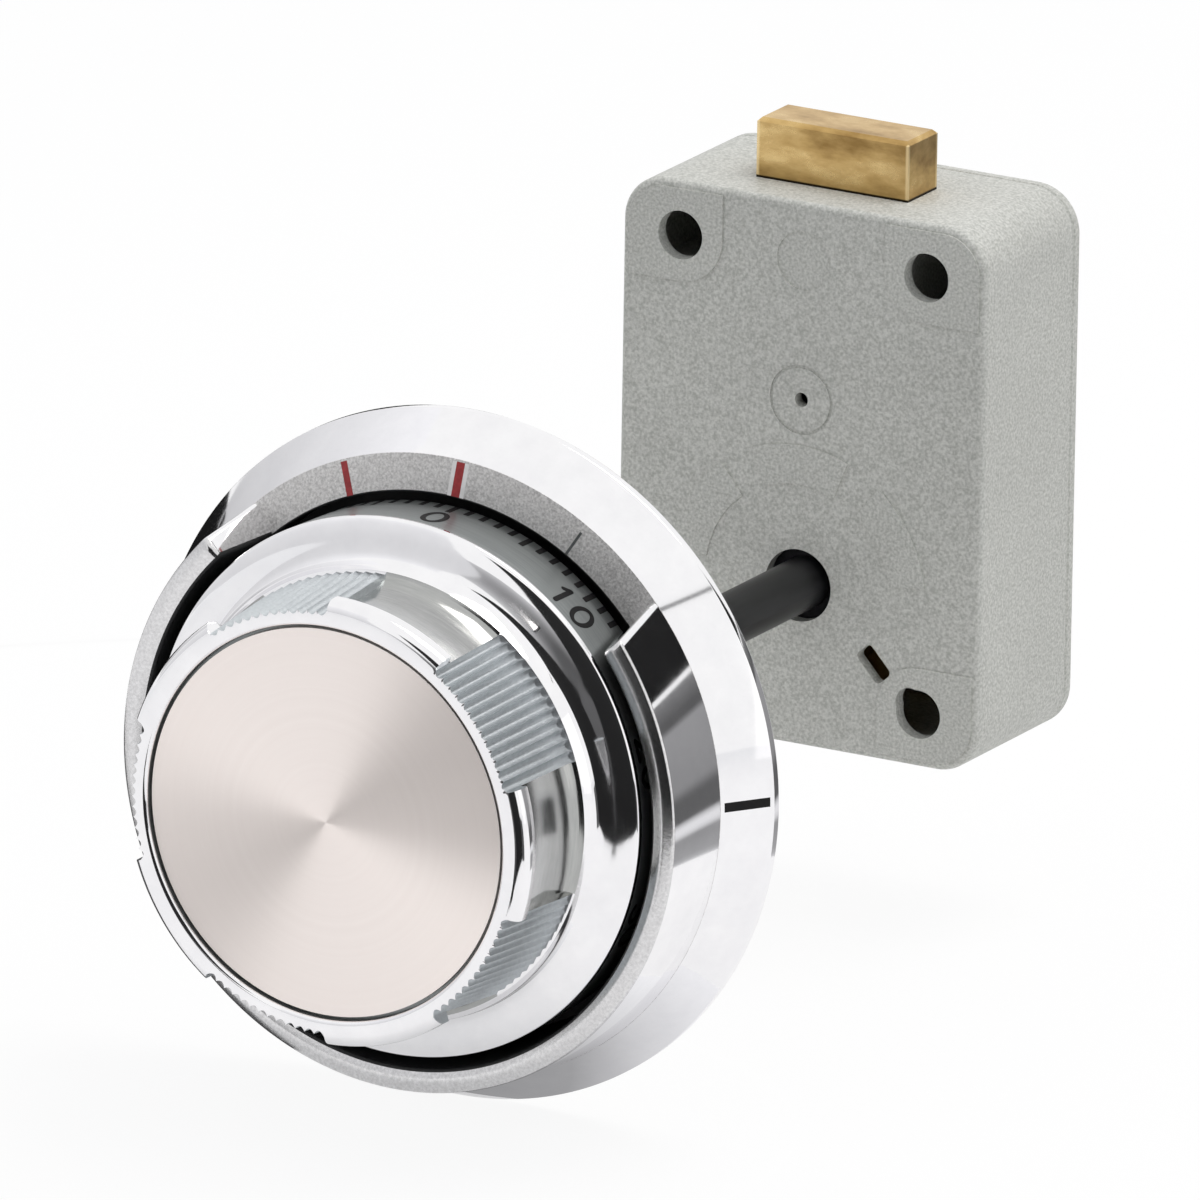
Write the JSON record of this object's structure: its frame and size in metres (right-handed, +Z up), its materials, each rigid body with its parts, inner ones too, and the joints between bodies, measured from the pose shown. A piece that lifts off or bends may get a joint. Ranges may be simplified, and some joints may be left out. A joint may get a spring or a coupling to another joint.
{
  "type": "combination safe lock",
  "caption": "Dial combination lock for a safe door: chrome dial and spy-proof ring outside, grey lock case with sliding brass bolt inside, joined by a long spindle.",
  "frame": {"origin": "spindle axis at the lock case's mounting face, the face that lies against the safe door's inner side", "axes": "+Z up, the way the bolt points; the dial faces -Y; +X to the right as seen from the dial"},
  "size_m": [0.1032, 0.1678, 0.1192],
  "materials": {
    "case_paint": "grey hammered enamel",
    "case_screws_steel": "zinc plated steel",
    "bolt_brass": "drawn brass, lightly brushed",
    "brass_parts": "stamped brass",
    "steel_parts": "bright steel",
    "spring_steel": "spring steel wire",
    "spindle_black": "black oxide",
    "ring_chrome": "polished chrome, frosted window face",
    "dial_chrome": "polished chrome with a satin graduated band",
    "inlay_steel": "spun satin steel"
  },
  "bodies": {
    "housing": {"lock_case": "case_paint", "case_cover": "case_paint", "cover_screws": "case_screws_steel", "wheel_post": "brass_parts", "tension_washer": "spring_steel", "spacer_washers": "brass_parts", "post_snap_ring": "spring_steel", "relock_plunger": "steel_parts", "relock_spring": "spring_steel", "dial_ring": "ring_chrome", "ring_bushing": "brass_parts"},
    "dial_spindle": {"dial": "dial_chrome", "dial_inlay": "inlay_steel", "spindle": "spindle_black", "spline_key": "steel_parts", "drive_cam": "brass_parts"},
    "wheel_3_set": {"wheel_3": "brass_parts", "wheel_hub_3": "brass_parts"},
    "wheel_2_set": {"wheel_2": "brass_parts", "wheel_hub_2": "brass_parts"},
    "wheel_1_set": {"wheel_1": "brass_parts", "wheel_hub_1": "brass_parts"},
    "fly_3_part": {"fly_3": "brass_parts"},
    "fly_2_part": {"fly_2": "brass_parts"},
    "fly_1_part": {"fly_1": "brass_parts"},
    "bolt_part": {"bolt": "bolt_brass", "lever_screw": "steel_parts", "lever_spring": "spring_steel"},
    "lever_part": {"lever": "brass_parts", "fence_bar": "brass_parts"}
  },
  "joints": [
    {"name": "dial_turn", "type": "hinge", "parent": "housing", "child": "dial_spindle", "pos_m": [0, 0, 0], "axis": [0, -1, 0], "continuous": true},
    {"name": "wheel_3_turn", "type": "hinge", "parent": "dial_spindle", "child": "wheel_3_set", "pos_m": [0, 0, 0], "axis": [0, -1, 0], "range_deg": [-162, 162]},
    {"name": "wheel_2_turn", "type": "hinge", "parent": "wheel_3_set", "child": "wheel_2_set", "pos_m": [0, 0, 0], "axis": [0, -1, 0], "range_deg": [-162, 162]},
    {"name": "wheel_1_turn", "type": "hinge", "parent": "wheel_2_set", "child": "wheel_1_set", "pos_m": [0, 0, 0], "axis": [0, -1, 0], "range_deg": [-162, 162]},
    {"name": "fly_3_swing", "type": "hinge", "parent": "wheel_3_set", "child": "fly_3_part", "pos_m": [0, 0, 0], "axis": [0, -1, 0], "range_deg": [-5.5, 5.5]},
    {"name": "fly_2_swing", "type": "hinge", "parent": "wheel_2_set", "child": "fly_2_part", "pos_m": [0, 0, 0], "axis": [0, -1, 0], "range_deg": [-5.5, 5.5]},
    {"name": "fly_1_swing", "type": "hinge", "parent": "wheel_1_set", "child": "fly_1_part", "pos_m": [0, 0, 0], "axis": [0, -1, 0], "range_deg": [-5.5, 5.5]},
    {"name": "bolt_slide", "type": "slide", "parent": "housing", "child": "bolt_part", "axis": [0, 0, 1], "range_m": [-0.009, 0]},
    {"name": "lever_swing", "type": "hinge", "parent": "bolt_part", "child": "lever_part", "pos_m": [-0.007, 0, 0.036], "axis": [0, 1, 0], "range_deg": [0, 1.2]}
  ]
}
